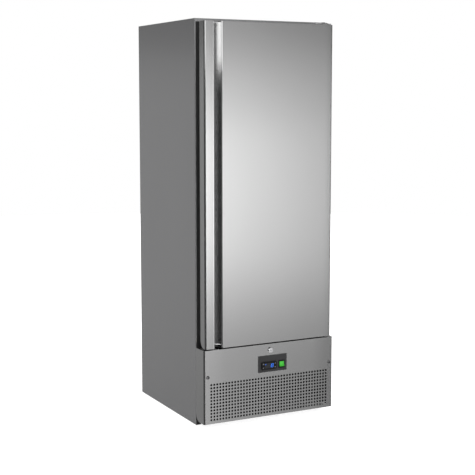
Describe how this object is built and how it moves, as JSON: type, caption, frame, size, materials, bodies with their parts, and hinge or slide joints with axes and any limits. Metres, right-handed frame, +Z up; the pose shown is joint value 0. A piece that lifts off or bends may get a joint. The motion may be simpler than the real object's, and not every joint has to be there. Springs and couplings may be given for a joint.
{
  "type": "commercial upright freezer",
  "caption": "Stainless steel upright freezer with a hinged door, grip channel, wire shelves cooled by tube, and a lower machine space behind a perforated panel.",
  "frame": {"origin": "on the floor, at the middle of the box that bounds the freezer", "axes": "+Z up, -Y out of the front, +X to the right of someone facing the door"},
  "size_m": [0.68, 0.743, 1.85],
  "materials": {
    "door_steel": "fine brushed stainless steel, satin",
    "cabinet_steel": "fine brushed stainless steel, satin",
    "galvanised_sheet": "galvanised sheet, dull",
    "insulating_foam": "rigid foam",
    "liner_plastic": "white plastic, soft gloss",
    "frame_steel": "white coated steel",
    "shelf_steel": "white coated wire and tube",
    "grey_plastic": "grey plastic, matt",
    "seal_rubber": "dark grey seal",
    "mount_rubber": "black rubber",
    "control_grey": "dark grey plate, satin",
    "black_plastic": "black plastic, matt",
    "display_window": "dark display window, glossy",
    "key_plastic": "dark grey keys with pale marks",
    "green_lens": "lit green lens",
    "lock_chrome": "bright chrome",
    "hinge_steel": "stainless steel plate",
    "compressor_black": "black enamel",
    "copper": "copper tube",
    "fin_aluminium": "bare aluminium",
    "motor_metal": "dark painted metal",
    "screw_steel": "dark zinc plated steel",
    "foot_steel": "zinc plated steel",
    "roller_plastic": "black nylon"
  },
  "bodies": {
    "cabinet": {"base_panel": "door_steel", "side_panel_left": "cabinet_steel", "side_panel_right": "cabinet_steel", "top_panel": "cabinet_steel", "rear_panel": "galvanised_sheet", "machine_ceiling": "galvanised_sheet", "base_frame": "galvanised_sheet", "rear_cover": "galvanised_sheet", "fan_shroud": "galvanised_sheet", "panel_brackets": "galvanised_sheet", "roller_brackets": "galvanised_sheet", "insulation_foam": "insulating_foam", "inner_liner": "liner_plastic", "shelf_rails": "liner_plastic", "front_frame": "frame_steel", "evaporator_shelf_1": "shelf_steel", "evaporator_shelf_2": "shelf_steel", "evaporator_shelf_3": "shelf_steel", "evaporator_shelf_4": "shelf_steel", "evaporator_shelf_5": "shelf_steel", "evaporator_shelf_6": "shelf_steel", "evaporator_links": "shelf_steel", "temperature_probe": "grey_plastic", "drain_tube": "grey_plastic", "evaporation_tray": "grey_plastic", "compressor_mounts": "mount_rubber", "control_plate": "control_grey", "thermostat_body": "black_plastic", "switch_body": "black_plastic", "cord_gland": "black_plastic", "compressor_terminal_cover": "black_plastic", "thermostat_window": "display_window", "lock_body": "lock_chrome", "top_hinge_bracket": "hinge_steel", "bottom_hinge_bracket": "hinge_steel", "compressor": "compressor_black", "refrigerant_lines": "copper", "filter_drier": "copper", "condenser_tube": "copper", "condenser_fins": "fin_aluminium", "fan_motor": "motor_metal", "screws": "screw_steel"},
    "door": {"door_skin": "door_steel", "door_foam": "insulating_foam", "door_liner": "liner_plastic", "door_gasket": "seal_rubber", "door_end_caps": "grey_plastic", "hinge_bushes": "grey_plastic"},
    "lock": {"lock_plug": "lock_chrome", "lock_cam": "galvanised_sheet"},
    "power_rocker": {"switch_rocker": "green_lens"},
    "foot_left": {"levelling_foot_left": "foot_steel"},
    "foot_right": {"levelling_foot_right": "foot_steel"},
    "roller_left": {"rear_roller_left": "roller_plastic"},
    "roller_right": {"rear_roller_right": "roller_plastic"},
    "fan": {"fan_blades": "fin_aluminium"},
    "key_upper_left": {"thermostat_key_upper_left": "key_plastic"},
    "key_upper_right": {"thermostat_key_upper_right": "key_plastic"},
    "key_lower_left": {"thermostat_key_lower_left": "key_plastic"},
    "key_lower_right": {"thermostat_key_lower_right": "key_plastic"}
  },
  "joints": [
    {"name": "door_swing", "type": "hinge", "parent": "cabinet", "child": "door", "pos_m": [0.298, -0.3235, 0.372], "axis": [0, 0, 1], "range_deg": [0, 110]},
    {"name": "lock_turn", "type": "hinge", "parent": "cabinet", "child": "lock", "pos_m": [0, -0.3635, 0.3386], "axis": [0, -1, 0], "range_deg": [0, 90]},
    {"name": "power_rock", "type": "hinge", "parent": "cabinet", "child": "power_rocker", "pos_m": [0.0599, -0.362, 0.2667], "axis": [1, 0, 0], "range_deg": [0, 14]},
    {"name": "foot_left_screw", "type": "slide", "parent": "cabinet", "child": "foot_left", "axis": [0, 0, -1], "range_m": [0, 0.015]},
    {"name": "foot_right_screw", "type": "slide", "parent": "cabinet", "child": "foot_right", "axis": [0, 0, -1], "range_m": [0, 0.015]},
    {"name": "roller_left_turn", "type": "hinge", "parent": "cabinet", "child": "roller_left", "pos_m": [-0.284, 0.3095, 0.02], "axis": [1, 0, 0], "continuous": true},
    {"name": "roller_right_turn", "type": "hinge", "parent": "cabinet", "child": "roller_right", "pos_m": [0.284, 0.3095, 0.02], "axis": [1, 0, 0], "continuous": true},
    {"name": "fan_spin", "type": "hinge", "parent": "cabinet", "child": "fan", "pos_m": [-0.0925, -0.1795, 0.199], "axis": [0, 1, 0], "continuous": true},
    {"name": "key_upper_left_press", "type": "slide", "parent": "cabinet", "child": "key_upper_left", "axis": [0, 1, 0], "range_m": [0, 0.0005], "stiffness_N_per_m": 400},
    {"name": "key_upper_right_press", "type": "slide", "parent": "cabinet", "child": "key_upper_right", "axis": [0, 1, 0], "range_m": [0, 0.0005], "stiffness_N_per_m": 400},
    {"name": "key_lower_left_press", "type": "slide", "parent": "cabinet", "child": "key_lower_left", "axis": [0, 1, 0], "range_m": [0, 0.0005], "stiffness_N_per_m": 400},
    {"name": "key_lower_right_press", "type": "slide", "parent": "cabinet", "child": "key_lower_right", "axis": [0, 1, 0], "range_m": [0, 0.0005], "stiffness_N_per_m": 400}
  ]
}
